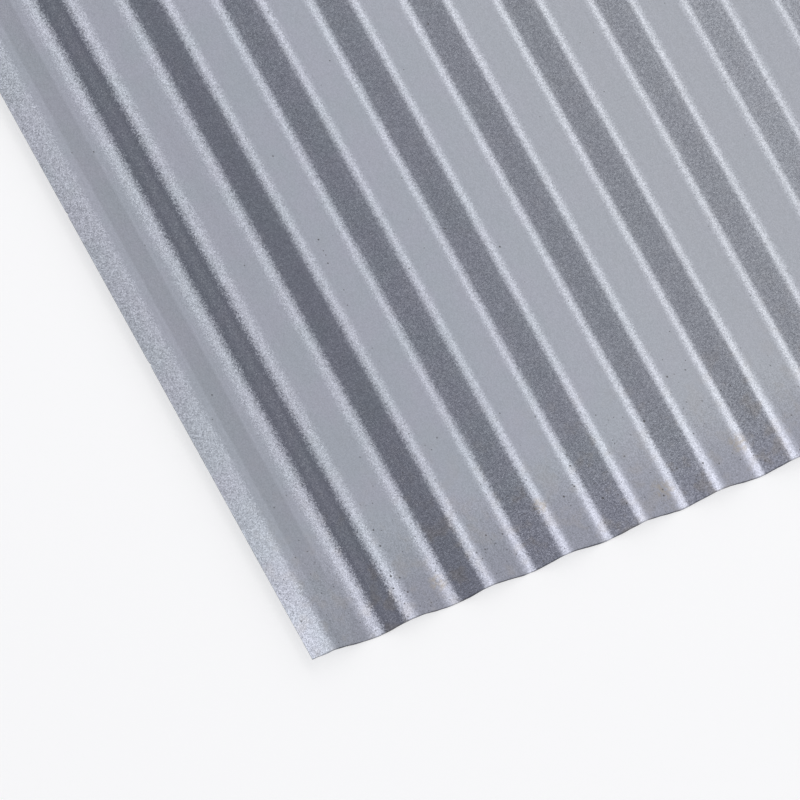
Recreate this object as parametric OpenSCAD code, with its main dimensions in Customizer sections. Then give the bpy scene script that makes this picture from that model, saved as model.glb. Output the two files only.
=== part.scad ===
// Corrugated sheet of zinc-coated steel, lying flat with its troughs down.
// X runs across the waves, Y along them and Z up. The origin is at the middle of the
// sheet, on the plane that its troughs rest on.

/* [Sheet] */
// Length of the sheet along the waves
length = 2440; // [600:10:3600]
// Thickness of the coated steel
thickness = 0.6; // [0.4:0.05:1.2]

/* [Waves] */
// Distance from one trough to the next
pitch = 67.7; // [56:0.1:90]
// Height of a crest above a trough, both on the same face
depth = 8; // [5:0.1:14]
// Straight stretch in the middle of each slope
wave_flat = 20; // [8:0.5:24]
// Number of waves between the first trough and the plain edge
wave_count = 9; // [3:1:14]

/* [Lapped edge] */
// Width of the flat lip that laps over the next sheet
lip_width = 14; // [8:0.5:30]
// Height of the lip above a trough, both on the same face
lip_rise = 11.5; // [8:0.1:18]
// Distance from the inner side of the lip to the first trough
lip_run = 45; // [36:0.1:60]
// Straight stretch in the slope below the lip
lip_flat = 15; // [8:0.5:30]

/* [Hidden] */
// Straight steps that each bend is drawn in
bend_steps = 6;
first_trough = lip_width + lip_run;
sheet_width = first_trough + wave_count * pitch;

// Angle that a slope of this run and rise makes with the floor
function slope_angle(run, rise, flat) = 2 * atan(rise / (run + flat));

// Radius of the two equal bends that join such a slope to level sheet, in mid-thickness
function bend_radius(run, rise, flat) =
    let (angle = slope_angle(run, rise, flat))
    (run - flat * cos(angle)) / (2 * sin(angle));

// Mid-thickness stations [x, z, heading] of a bend, a straight slope and the bend back
// to level, starting at [x, z]. A negative rise goes down. The first station is left out.
function slope(x, z, run, rise, flat) =
    let (
        up = sign(rise),
        angle = slope_angle(run, abs(rise), flat),
        radius = bend_radius(run, abs(rise), flat)
    )
    concat(
        [for (i = [1:bend_steps])
            let (turn = angle * i / bend_steps)
            [x + radius * sin(turn), z + up * radius * (1 - cos(turn)), up * turn]],
        [for (i = [bend_steps:-1:0])
            let (turn = angle * i / bend_steps)
            [x + run - radius * sin(turn), z + rise - up * radius * (1 - cos(turn)), up * turn]]
    );

// One whole wave, from a trough over its crest to the next trough
function wave(x) = concat(
    slope(x, 0, pitch / 2, depth, wave_flat),
    slope(x + pitch / 2, depth, pitch / 2, -depth, wave_flat)
);

// The sheet's mid-thickness line, from the lapped edge to the plain edge
stations = concat(
    [[0, lip_rise, 0], [lip_width, lip_rise, 0]],
    slope(lip_width, lip_rise, lip_run, -lip_rise, lip_flat),
    [for (k = [0:wave_count - 1]) each wave(first_trough + k * pitch)]
);

// One face of the sheet: the stations moved square to the sheet by an offset
function face_points(offset) =
    [for (s = stations) [s[0] - offset * sin(s[2]), s[1] + offset * cos(s[2])]];

function reversed(points) = [for (i = [len(points) - 1:-1:0]) points[i]];

module section() {
    polygon(concat(face_points(thickness / 2), reversed(face_points(-thickness / 2))));
}

module corrugated_sheet() {
    color("#a3a8af")
        translate([-sheet_width / 2, length / 2, thickness / 2])
            rotate([90, 0, 0])
                linear_extrude(height = length)
                    section();
}

corrugated_sheet();
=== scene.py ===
"""Looks of a corrugated sheet of zinc-coated steel that lies flat on a pale floor."""
import math

import bpy
import numpy as np
from mathutils import Matrix, Vector, noise


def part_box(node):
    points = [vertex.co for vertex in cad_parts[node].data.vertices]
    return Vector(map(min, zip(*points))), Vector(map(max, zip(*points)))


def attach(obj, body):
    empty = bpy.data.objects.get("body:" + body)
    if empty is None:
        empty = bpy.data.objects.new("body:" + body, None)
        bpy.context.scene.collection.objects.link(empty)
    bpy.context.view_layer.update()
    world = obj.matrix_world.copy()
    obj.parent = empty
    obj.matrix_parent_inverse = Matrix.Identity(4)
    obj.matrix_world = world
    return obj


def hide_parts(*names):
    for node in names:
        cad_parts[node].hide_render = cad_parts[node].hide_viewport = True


MM = 0.001

# The sheet's section, as its solid has it
PITCH = 67.7 * MM
DEPTH = 8 * MM
WAVE_FLAT = 20 * MM
WAVE_COUNT = 9
LIP_WIDTH = 14 * MM
LIP_RISE = 11.5 * MM
LIP_RUN = 45 * MM
LIP_FLAT = 15 * MM
THICKNESS = 0.6 * MM

# Fineness of the mesh: steps across the sheet, rows along it, and extra rows beside its ends and nicks
BEND_STEPS = 6
FLAT_STEPS = 3
LIP_STEPS = 6
ROW_STEP = 20 * MM
END_ROWS = (1 * MM, 3 * MM, 8 * MM)
NICK_ROWS = (0.4 * MM, 1 * MM, 3 * MM)
SHARP_ANGLE = math.radians(40)

# Droop of the lip towards its edge
LIP_DROOP = 1.3 * MM
DROOP_WIDTH = 19 * MM
DROOP_POWER = 1.3

# Shifts across of the first troughs and crests, and straight stretches of the slopes after them
UNEVEN = (1.2 * MM, -3.3 * MM, 0.1 * MM, -0.9 * MM)
ROUNDED = (7 * MM, 15 * MM, 17 * MM)

# Added to noise, which runs from about -1 to 1, so that most of it is above 0
NOISE_MIDDLE = 0.5

# Buckles of the crests: height, size across and along the sheet, and layer of the noise
BUCKLE = 0.35 * MM
BUCKLE_ACROSS = 220 * MM
BUCKLE_ALONG = 300 * MM
BUCKLE_LAYER = 0.7

# Ragged ends left by the shears: depth, size across, reach along the sheet, and layer of the noise
RAGGED = 0.5 * MM
RAGGED_ACROSS = 9 * MM
RAGGED_REACH = 6 * MM
RAGGED_LAYER = 0.3

# Nicks in the lipped edge: distances from the shown end, depth, half width, and reach across the sheet
NICKS = (272 * MM, 411 * MM)
NICK_DEPTH = 0.9 * MM
NICK_HALF_WIDTH = 0.9 * MM
NICK_REACH = 1.2 * MM

# Brown stains on the sheet: distance from the lipped edge, from the shown end, and radius, in mm
STAINS = (
    (124, 22, 10),
    (225, 45, 9),
    (323, 21, 13),
    (396, 32, 12),
)

# Single dark specks, given like the stains
MARKS = (
    (90, 39, 1.35),
    (87, 29, 1.1),
    (96, 22, 1.2),
    (96, 35, 1.0),
    (96, 79, 1.1),
    (176, 41, 1.0),
    (190, 38, 1.1),
    (248, 46, 1.35),
    (266, 68, 1.2),
    (289, 20, 1.0),
    (321, 16, 1.2),
    (323, 21, 1.0),
    (337, 78, 1.35),
    (369, 102, 1.2),
    (360, 26, 1.2),
    (372, 21, 1.0),
    (173, 315, 1.1),
    (172, 305, 0.8),
    (172, 301, 0.8),
    (170, 294, 1.0),
    (171, 269, 0.8),
    (167, 256, 0.8),
)

# Cells of the textures to a metre
CRYSTALS = 1250.0
TINT_DRIFT = 24.0
FINE_SPECKS = 380.0
LARGE_SPECKS = 150.0
SPECK_PATCHES = 30.0
SPECK_BENDS = 700.0
RUST_PATCHES = 75.0
STAIN_BREAKS = 260.0
STEEL_STREAKS = 420.0

# How far noise bends the specks out of round
BEND_SIZE = 1.2 * MM

# The coat, which drifts between its first two colours
COAT_COOL = (0.600, 0.637, 0.696, 1)
COAT_WARM = (0.620, 0.637, 0.712, 1)
COAT_RIGHT = (0.632, 0.652, 0.686, 1)
COAT_END = (0.626, 0.637, 0.730, 1)
COAT_ROUGHNESS = 0.28

# What lies on the coat, with the most that it covers of it
RUST = (0.52, 0.46, 0.38, 1)
STAIN_COVER = 0.6
DIRT = (0.05, 0.045, 0.04, 1)
DIRT_COVER = 0.85
DIRT_METALLIC = 0.3

# The steel of the cut edges
STEEL_DARK = (0.15, 0.15, 0.16, 1)
STEEL_PALE = (0.30, 0.30, 0.31, 1)
STEEL_ROUGHNESS = 0.5

# The floor, a little below the sheet
FLOOR_HALF = 30.0
FLOOR_GAP = 0.2 * MM
FLOOR_GREY = (0.52, 0.52, 0.52, 1)
FLOOR_GLOW = 0.54
FLOOR_ROUGHNESS = 0.9

# The sky, with the level ways to its bright side at the front left and its paler side at the back left
SKY_DIM = (0.138, 0.143, 0.176, 1)
SKY_BRIGHT = (1.15, 1.15, 1.17, 1)
BRIGHT_SIDE = (-0.65, -0.76, 0)
PALE_SIDE = (-0.80, 0.60, 0)

# Parts along the waves and square to them of each way that the shown face mirrors
MIRROR_ALONG = 0.3
MIRROR_SQUARE = 0.954

# Far lamps: name, lean in degrees of the mirrored way, size across and along the waves, and radiance
SOFTBOXES = (
    ("overhead_strip", 0.5, 1.9, 12, 0.56),
    ("side_panel", 41.5, 6.25, 14, 0.545),
)
SOFTBOX_DISTANCE = 6

# Lamps close above: name, left and right side, near and far end from the shown end, and radiance
FILLS = (
    ("fill", -0.50, 0.9, -0.8, 3.2, 0.09),
    ("right_fill", 0.25, 0.62, -0.8, 3.2, 0.72),
    ("end_fill", -0.15, 0.50, 0.1, 0.6, 0.40),
    ("far_fill", -0.15, 0.50, 1.25, 1.75, 0.50),
)
FILL_HEIGHT = 2.0

# Distance from the shown end to the middle of what the photograph shows
SHOWN_MIDDLE = 0.4

# The photograph's view, for an 800 pixel frame
VIEW_AZIMUTH = math.radians(-48.2)
VIEW_ELEVATION = math.radians(63.3)
VIEW_ROLL = math.radians(22.4)
VIEW_HALF_ANGLE = math.radians(0.75)
FRAME_PX = 800
PITCH_PX = 88.2
CORNER_PX = (313.0, 659.3)
SENSOR_WIDTH = 36.0
# Far clip of the camera, in distances to the sheet
CLIP_DISTANCES = 4

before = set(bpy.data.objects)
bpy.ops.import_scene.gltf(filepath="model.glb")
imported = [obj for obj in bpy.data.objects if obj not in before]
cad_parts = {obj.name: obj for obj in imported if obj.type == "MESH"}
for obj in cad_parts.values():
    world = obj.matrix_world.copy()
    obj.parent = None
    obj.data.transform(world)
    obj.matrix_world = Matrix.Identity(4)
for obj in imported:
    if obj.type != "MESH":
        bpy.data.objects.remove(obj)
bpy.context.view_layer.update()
low, high = (Vector(corner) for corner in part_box("corrugated_sheet"))
shown_middle = Vector((0, low.y + SHOWN_MIDDLE, 0))


def placed(name, data):
    """A new object in the scene."""
    thing = bpy.data.objects.new(name, data)
    bpy.context.scene.collection.objects.link(thing)
    return thing


# Shape of the sheet


def slope(x, z, run, rise, flat):
    """Mid-thickness stations (x, z, heading) of a bend, a straight slope and the bend back to level."""
    up = math.copysign(1, rise)
    angle = 2 * math.atan(abs(rise) / (run + flat))
    radius = (run - flat * math.cos(angle)) / (2 * math.sin(angle))
    turns = [angle * i / BEND_STEPS for i in range(BEND_STEPS + 1)]
    bend = [(radius * math.sin(t), up * radius * (1 - math.cos(t)), up * t) for t in turns]
    first = [(x + dx, z + dz, h) for dx, dz, h in bend[1:]]
    last = [(x + run - dx, z + rise - dz, h) for dx, dz, h in reversed(bend)]
    (x0, z0, heading), (x1, z1, _) = first[-1], last[0]
    shares = [i / FLAT_STEPS for i in range(1, FLAT_STEPS)]
    middle = [(x0 + (x1 - x0) * share, z0 + (z1 - z0) * share, heading) for share in shares]
    return first + middle + last


def section():
    """The sheet's mid-thickness line from the lipped edge to the plain edge."""
    line = [(LIP_WIDTH * i / LIP_STEPS, LIP_RISE, 0) for i in range(LIP_STEPS + 1)]
    turns = [LIP_WIDTH + LIP_RUN + k * PITCH / 2 for k in range(2 * WAVE_COUNT + 1)]
    for k, shift in enumerate(UNEVEN):
        turns[k] += shift
    flats = list(ROUNDED) + [WAVE_FLAT] * (2 * WAVE_COUNT - len(ROUNDED))
    line += slope(LIP_WIDTH, LIP_RISE, turns[0] - LIP_WIDTH, -LIP_RISE, LIP_FLAT)
    for k, flat in enumerate(flats):
        z = DEPTH * (k % 2)
        line += slope(turns[k], z, turns[k + 1] - turns[k], DEPTH - 2 * z, flat)
    return drooped(np.array(line))


def drooped(line):
    """The line with a lip that droops a little."""
    out = np.clip(1 - line[:, 0] / DROOP_WIDTH, 0, 1)
    line[:, 1] -= LIP_DROOP * out ** DROOP_POWER
    line[:, 2] += np.arctan(DROOP_POWER * LIP_DROOP / DROOP_WIDTH * out ** (DROOP_POWER - 1))
    return line


def rows_along():
    """Distances of the rows from the shown end, with close rows at both ends and at the nicks."""
    length = high.y - low.y
    even = np.linspace(0, length, round(length / ROW_STEP) + 1)
    close = [row for gap in END_ROWS for row in (gap, length - gap)]
    close += [nick + side * gap for nick in NICKS for gap in NICK_ROWS for side in (-1, 1)]
    return np.unique(np.concatenate([even, close]))


def face_grid(line, away, side):
    """One face of the sheet as a grid of points, by row and then by station."""
    x = line[:, 0] - side * np.sin(line[:, 2]) * THICKNESS / 2
    z = line[:, 1] + side * np.cos(line[:, 2]) * THICKNESS / 2 + THICKNESS / 2
    grid = np.empty((len(away), len(x), 3))
    grid[:, :, 0] = x
    grid[:, :, 1] = away[:, None]
    grid[:, :, 2] = z
    length = away[-1]
    for r, y in enumerate(away):
        inward = math.exp(-y / RAGGED_REACH) - math.exp((y - length) / RAGGED_REACH)
        nick = sum(math.exp(-((y - at) / NICK_HALF_WIDTH) ** 2) for at in NICKS)
        for c, (px, pz) in enumerate(line[:, :2]):
            worn = NOISE_MIDDLE + noise.noise((px / RAGGED_ACROSS, RAGGED_LAYER, y / length))
            lift = NOISE_MIDDLE + noise.noise((px / BUCKLE_ACROSS, y / BUCKLE_ALONG, BUCKLE_LAYER))
            grid[r, c, 0] += NICK_DEPTH * nick * math.exp(-px / NICK_REACH)
            grid[r, c, 1] += RAGGED * worn * inward
            grid[r, c, 2] += BUCKLE * max(0.0, lift) * min(1.0, pz / DEPTH)
    return grid.reshape(-1, 3) + np.array((low.x, low.y, low.z))


def sheet_mesh():
    """The closed sheet: two faces and a rim. The rim has the second material."""
    line = section()
    away = rows_along()
    columns, rows = len(line), len(away)
    count = rows * columns
    points = np.concatenate([face_grid(line, away, side) for side in (1, -1)])

    def at(row, column, under):
        return under * count + row * columns + column

    faces = []
    for r in range(rows - 1):
        for c in range(columns - 1):
            faces.append((at(r, c, 0), at(r, c + 1, 0), at(r + 1, c + 1, 0), at(r + 1, c, 0)))
            faces.append((at(r, c, 1), at(r + 1, c, 1), at(r + 1, c + 1, 1), at(r, c + 1, 1)))
    skin = len(faces)
    far, right = rows - 1, columns - 1
    for c in range(columns - 1):
        faces.append((at(0, c, 1), at(0, c + 1, 1), at(0, c + 1, 0), at(0, c, 0)))
        faces.append((at(far, c, 0), at(far, c + 1, 0), at(far, c + 1, 1), at(far, c, 1)))
    for r in range(rows - 1):
        faces.append((at(r, 0, 0), at(r + 1, 0, 0), at(r + 1, 0, 1), at(r, 0, 1)))
        faces.append((at(r, right, 1), at(r + 1, right, 1), at(r + 1, right, 0), at(r, right, 0)))
    mesh = bpy.data.meshes.new("sheet")
    mesh.from_pydata(points.tolist(), [], faces)
    mesh.polygons.foreach_set("material_index", [int(i >= skin) for i in range(len(faces))])
    mesh.shade_smooth()
    mesh.set_sharp_from_angle(angle=SHARP_ANGLE)
    mesh.validate()
    return mesh


# Materials


class Graph:
    """The nodes of a material or of the world. An input is a value or another node's output."""

    def __init__(self, owner):
        owner.use_nodes = True
        self.tree = owner.node_tree

    def put(self, socket, value):
        """Sets a socket."""
        if isinstance(value, bpy.types.NodeSocket):
            self.tree.links.new(value, socket)
        else:
            socket.default_value = value

    def add(self, kind, *numbered, options=None, **named):
        """The outputs of a new node, which has its inputs set by number or by name."""
        node = self.tree.nodes.new("ShaderNode" + kind)
        for name, value in (options or {}).items():
            setattr(node, name, value)
        inputs = [(i, value) for i, value in enumerate(numbered) if value is not None]
        for key, value in inputs + list(named.items()):
            self.put(node.inputs[key], value)
        return node.outputs

    def math(self, operation, a, b):
        return self.add("Math", a, b, options={"operation": operation})["Value"]

    def plus(self, a, b):
        return self.math("ADD", a, b)

    def minus(self, a, b):
        return self.math("SUBTRACT", a, b)

    def times(self, a, b):
        return self.math("MULTIPLY", a, b)

    def larger(self, a, b):
        return self.math("MAXIMUM", a, b)

    def vector(self, operation, *inputs, **named):
        return self.add("VectorMath", *inputs, options={"operation": operation}, **named)

    def fade(self, value, start, end, at_start, at_end):
        """A value turned into another range, held at both ends and smooth between them."""
        options = {"interpolation_type": "SMOOTHSTEP"}
        return self.add("MapRange", value, start, end, at_start, at_end, options=options)["Result"]

    def mix(self, share, a, b):
        """A colour between two others."""
        unused = [None] * 5
        return self.add("Mix", share, *unused, a, b, options={"data_type": "RGBA"})[2]

    def noise(self, place, scale, detail):
        return self.add("TexNoise", Vector=place, Scale=scale, Detail=detail)["Fac"]


def new_material(name):
    """A new material, its graph and its shader's inputs."""
    material = bpy.data.materials.new(name)
    graph = Graph(material)
    return material, graph, graph.tree.nodes["Principled BSDF"].inputs


def crystal_normal(graph, crystal, x, normal, facing):
    """The face's normal, turned a little another way in each crystal, less on slopes that face -X."""
    most = graph.fade(x, 0, 300 * MM, 0.19, 0.105)
    least = graph.fade(x, 90 * MM, 130 * MM, 0.95, 0.6)
    most = graph.times(most, graph.fade(facing, -0.29, -0.20, least, 1.0))
    lean = graph.vector("SUBTRACT", crystal, (0.5, 0.5, 0.5))["Vector"]
    lean = graph.vector("SCALE", lean, Scale=most)["Vector"]
    turned = graph.vector("ADD", normal, lean)["Vector"]
    return graph.vector("NORMALIZE", turned)["Vector"]


def coat_tint(graph, place, x, y):
    """The coat's colour, which drifts, and differs on the right and at the shown end."""
    drift = graph.fade(graph.noise(place, TINT_DRIFT, 2.0), 0.35, 0.65, 0.0, 1.0)
    on_right = graph.fade(x, 180 * MM, 480 * MM, 0.0, 0.75)
    at_end = graph.fade(y, 0, 70 * MM, 0.8, 0.0)
    at_end = graph.times(at_end, graph.fade(x, 10 * MM, 120 * MM, 0.15, 1.0))
    tint = graph.mix(drift, COAT_COOL, COAT_WARM)
    tint = graph.mix(on_right, tint, COAT_RIGHT)
    return graph.mix(at_end, tint, COAT_END)


def painted_shade_and_lip_darkening(graph, x, y, facing):
    """Painted shade on slopes that face +X, near the shown end and where they are steep, and darkening
    along the lip further from the shown end.
    """
    # Painted shade on slopes that face +X near the shown end
    near = graph.fade(y, 10 * MM, 90 * MM, 0.20, 0.0)
    near = graph.times(near, graph.fade(facing, 0.10, 0.26, 0.0, 1.0))
    # Painted shade on the steepest slopes that face +X, the lip's slope
    steep_painted_shade = graph.fade(facing, 0.29, 0.35, 0.0, 0.16)
    lip = graph.fade(x, 14 * MM, 24 * MM, 1.0, 0.0)
    lip = graph.times(lip, graph.fade(y, 110 * MM, 340 * MM, 0.0, 0.10))
    return graph.larger(graph.larger(near, steep_painted_shade), lip)


def painted_highlights(graph, x, y, gentle):
    """Painted highlight on gentle faces, most at the shown end and on the right, with painted shade on
    them to the left, and a painted highlight on the lip's corner.
    """
    # Painted highlight at the shown end, and painted light that grows towards +X
    painted_light = graph.fade(y, 0, 170 * MM, 0.22, 0.0)
    painted_light = graph.plus(painted_light, graph.fade(x, 60 * MM, 430 * MM, -0.07, 0.035))
    # Painted highlight on the lip's corner near the shown end
    corner = graph.fade(x, 8 * MM, 15 * MM, 0.13, 0.0)
    corner = graph.times(corner, graph.fade(y, 10 * MM, 90 * MM, 1.0, 0.0))
    return graph.plus(graph.times(gentle, painted_light), corner)


def coat_level(graph, crystal, x, y, facing):
    """The coat's brightness: dulled by film that paints light brighter towards +X, with painted shade on
    some slopes, a darker lip further along, painted shade along the cut edge at the shown end, painted
    highlights on gentle faces, and uneven by crystal.
    """
    # Faces that are level or lean a little towards -X
    gentle = graph.fade(facing, -0.27, -0.18, 0.0, 1.0)
    gentle = graph.times(gentle, graph.fade(facing, 0.0, 0.12, 1.0, 0.0))
    # Film dulls the coat; its rise towards +X is painted light, brighter to the right
    film = graph.fade(x, 60 * MM, 430 * MM, 0.785, 0.895)
    # Painted shade along the bent cut edge at the shown end
    painted_edge_shade = graph.fade(y, 0.5 * MM, 1.4 * MM, 0.45, 1.0)
    change = graph.minus(painted_highlights(graph, x, y, gentle), painted_shade_and_lip_darkening(graph, x, y, facing))
    level = graph.times(film, graph.plus(painted_edge_shade, change))
    shine = graph.minus(graph.add("SeparateColor", crystal)["Blue"], 0.5)
    grain = graph.fade(y, 50 * MM, 130 * MM, 0.40, 0.0)
    grain = graph.larger(grain, graph.fade(gentle, 0.0, 1.0, 0.18, 0.42))
    return graph.times(level, graph.plus(graph.times(shine, grain), 1.0))


def spots(graph, away, places):
    """Soft round spots, by their distances from the sheet's corner."""
    level = graph.vector("MULTIPLY", away, (1, 1, 0))["Vector"]
    total = 0.0
    for x, y, radius in places:
        gap = graph.vector("DISTANCE", level, (x * MM, y * MM, 0))["Value"]
        total = graph.larger(total, graph.fade(gap, 0.3 * radius * MM, radius * MM, 1.0, 0.0))
    return total


def rust_cover(graph, place, away, y, facing):
    """The stains, and a faint film in patches, most near the shown end and on slopes that face -X."""
    film = graph.fade(graph.noise(place, RUST_PATCHES, 5.0), 0.50, 0.66, 0.0, 1.0)
    film = graph.times(film, graph.fade(y, 20 * MM, 160 * MM, 1.0, 0.12))
    film = graph.times(film, graph.fade(facing, -0.28, -0.12, 0.32, 0.16))
    breaks = graph.fade(graph.noise(place, STAIN_BREAKS, 3.0), 0.36, 0.60, 0.1, 1.0)
    stain = graph.times(spots(graph, away, STAINS), breaks)
    return graph.larger(film, graph.times(stain, STAIN_COVER))


def specks(graph, place, y, scale, radius, most, least):
    """Dark specks of dirt, some of them faint, most near the shown end and in loose patches."""
    bend = graph.add("TexNoise", Vector=place, Scale=SPECK_BENDS)["Color"]
    bent = graph.vector("MULTIPLY_ADD", bend, (BEND_SIZE, BEND_SIZE, BEND_SIZE), place)["Vector"]
    cells = graph.add("TexVoronoi", Vector=bent, Scale=scale)
    pick = graph.add("SeparateColor", cells["Color"])
    reach = radius * scale
    dot = graph.fade(cells["Distance"], 0.6 * reach, 1.3 * reach, 1.0, 0.0)
    dot = graph.times(dot, graph.fade(pick["Green"], 0.0, 1.0, 0.3, 1.0))
    patch = graph.fade(graph.noise(place, SPECK_PATCHES, 2.0), 0.38, 0.62, 0.25, 1.6)
    share = graph.times(graph.fade(y, 30 * MM, 160 * MM, most, least), patch)
    return graph.times(dot, graph.math("LESS_THAN", pick["Red"], share))


def zinc_material():
    """The zinc coat with its crystals, film, stains and specks, and painted light and shade. x and y run
    from the shown corner.
    """
    material, graph, shader = new_material("zinc_coat")
    place = graph.add("TexCoord")["Object"]
    away = graph.vector("SUBTRACT", place, (low.x, low.y, 0))["Vector"]
    axes = graph.add("SeparateXYZ", away)
    x, y = axes["X"], axes["Y"]
    normal = graph.add("NewGeometry")["Normal"]
    facing = graph.add("SeparateXYZ", normal)["X"]
    crystal = graph.add("TexVoronoi", Vector=place, Scale=CRYSTALS)["Color"]

    level = coat_level(graph, crystal, x, y, facing)
    coat = graph.vector("SCALE", coat_tint(graph, place, x, y), Scale=level)["Vector"]
    stained = graph.mix(rust_cover(graph, place, away, y, facing), coat, RUST)
    fine = specks(graph, place, y, FINE_SPECKS, 0.55 * MM, 0.20, 0.008)
    large = specks(graph, place, y, LARGE_SPECKS, 0.90 * MM, 0.24, 0.010)
    dirt = graph.larger(graph.larger(fine, large), spots(graph, away, MARKS))
    graph.put(shader["Base Color"], graph.mix(graph.times(dirt, DIRT_COVER), stained, DIRT))
    graph.put(shader["Metallic"], graph.fade(dirt, 0.0, 1.0, 1.0, DIRT_METALLIC))
    graph.put(shader["Roughness"], COAT_ROUGHNESS)
    graph.put(shader["Normal"], crystal_normal(graph, crystal, x, normal, facing))
    return material


def cut_edge_material():
    """Bare steel left by the shears, brighter and darker in short streaks."""
    material, graph, shader = new_material("cut_edge")
    place = graph.add("TexCoord")["Object"]
    streak = graph.fade(graph.noise(place, STEEL_STREAKS, 3.0), 0.35, 0.65, 0.0, 1.0)
    graph.put(shader["Base Color"], graph.mix(streak, STEEL_DARK, STEEL_PALE))
    graph.put(shader["Metallic"], 1.0)
    graph.put(shader["Roughness"], STEEL_ROUGHNESS)
    return material


def floor_material():
    """A pale floor. Much of the white that is seen is its own, so that the lamps need not make it."""
    material, graph, shader = new_material("pale_floor")
    rays = graph.add("LightPath")
    seen = graph.larger(rays["Is Camera Ray"], rays["Is Glossy Ray"])
    seen = graph.larger(seen, rays["Is Transmission Ray"])
    graph.put(shader["Emission Strength"], graph.times(seen, FLOOR_GLOW))
    graph.put(shader["Emission Color"], (1, 1, 1, 1))
    graph.put(shader["Base Color"], FLOOR_GREY)
    graph.put(shader["Roughness"], FLOOR_ROUGHNESS)
    return material


# Floor, light and camera


def make_floor():
    corners = [(-1, -1), (1, -1), (1, 1), (-1, 1)]
    points = [(x * FLOOR_HALF, y * FLOOR_HALF, low.z - FLOOR_GAP) for x, y in corners]
    mesh = bpy.data.meshes.new("floor")
    mesh.from_pydata(points, [], [(0, 1, 2, 3)])
    floor = placed("floor", mesh)
    floor.data.materials.append(floor_material())


def make_world():
    """A dim sky that is bright at the front left, and paler at the back left and near the horizon."""
    world = bpy.data.worlds.new("world")
    graph = Graph(world)
    way = graph.add("TexCoord")["Generated"]
    height = graph.add("SeparateXYZ", way)["Z"]
    ahead = graph.vector("DOT_PRODUCT", way, BRIGHT_SIDE)["Value"]
    behind = graph.vector("DOT_PRODUCT", way, PALE_SIDE)["Value"]
    front = graph.fade(ahead, 0.14, 0.56, 0.0, 1.0)
    front = graph.times(front, graph.fade(height, 0.05, 0.50, 0.6, 1.0))
    back = graph.fade(behind, 0.55, 0.85, 0.0, 0.45)
    rim = graph.fade(height, 0.15, 0.50, 0.65, 0.0)
    bright = graph.larger(graph.larger(front, back), rim)
    graph.put(graph.tree.nodes["Background"].inputs["Color"], graph.mix(bright, SKY_DIM, SKY_BRIGHT))
    bpy.context.scene.world = world


def set_at(thing, middle, x_axis, y_axis, z_axis):
    """Places a lamp or camera, which looks along its -Z axis."""
    turn = Matrix((x_axis, y_axis, z_axis)).transposed().to_4x4()
    thing.matrix_world = Matrix.Translation(middle) @ turn


def softbox(name, gap, across, along, radiance):
    """A rectangular lamp that faces the shown part. Its radiance is what the metal mirrors."""
    data = bpy.data.lights.new(name, "AREA")
    data.shape = "RECTANGLE"
    data.size = across
    data.size_y = along
    data.energy = radiance * math.pi * across * along
    lamp = placed(name, data)
    z_axis = gap.normalized()
    y_axis = (Vector((0, 1, 0)) - z_axis * z_axis.y).normalized()
    set_at(lamp, shown_middle + gap, y_axis.cross(z_axis), y_axis, z_axis)
    lamp.visible_camera = False


def far_lamp(name, lean, across, along, radiance):
    """A lamp that the shown face mirrors, by the lean of the way to it from upright towards +X."""
    turn = math.radians(lean)
    way = Vector((MIRROR_SQUARE * math.sin(turn), MIRROR_ALONG, MIRROR_SQUARE * math.cos(turn)))
    softbox(name, way.normalized() * SOFTBOX_DISTANCE, across, along, radiance)


def near_lamp(name, left, right, near, far, radiance):
    """A lamp close above, which one side or end of the shown face mirrors more than the other."""
    middle = Vector(((left + right) / 2, low.y + (near + far) / 2, FILL_HEIGHT))
    softbox(name, middle - shown_middle, right - left, far - near, radiance)


def make_camera():
    back = Vector((
        math.sin(VIEW_AZIMUTH) * math.cos(VIEW_ELEVATION),
        -math.cos(VIEW_AZIMUTH) * math.cos(VIEW_ELEVATION),
        math.sin(VIEW_ELEVATION),
    ))
    level = Vector((math.cos(VIEW_AZIMUTH), math.sin(VIEW_AZIMUTH), 0))
    right = level * math.cos(VIEW_ROLL) + back.cross(level) * math.sin(VIEW_ROLL)
    up = back.cross(right)
    metres_per_px = PITCH / PITCH_PX
    half = FRAME_PX / 2
    target = Vector((low.x, low.y, high.z))
    target += right * (half - CORNER_PX[0]) * metres_per_px
    target += up * (CORNER_PX[1] - half) * metres_per_px
    distance = half * metres_per_px / math.tan(VIEW_HALF_ANGLE)
    data = bpy.data.cameras.new("camera")
    data.sensor_width = SENSOR_WIDTH
    data.lens = SENSOR_WIDTH / 2 / math.tan(VIEW_HALF_ANGLE)
    data.clip_end = distance * CLIP_DISTANCES
    camera = placed("camera", data)
    set_at(camera, target + back * distance, right, up, back)
    bpy.context.scene.camera = camera


sheet = placed("zinc_sheet", sheet_mesh())
sheet.data.materials.append(zinc_material())
sheet.data.materials.append(cut_edge_material())
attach(sheet, "root")
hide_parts("corrugated_sheet")

make_floor()
make_world()
for lamp in SOFTBOXES:
    far_lamp(*lamp)
for lamp in FILLS:
    near_lamp(*lamp)
make_camera()
bpy.context.scene.view_settings.view_transform = "Standard"
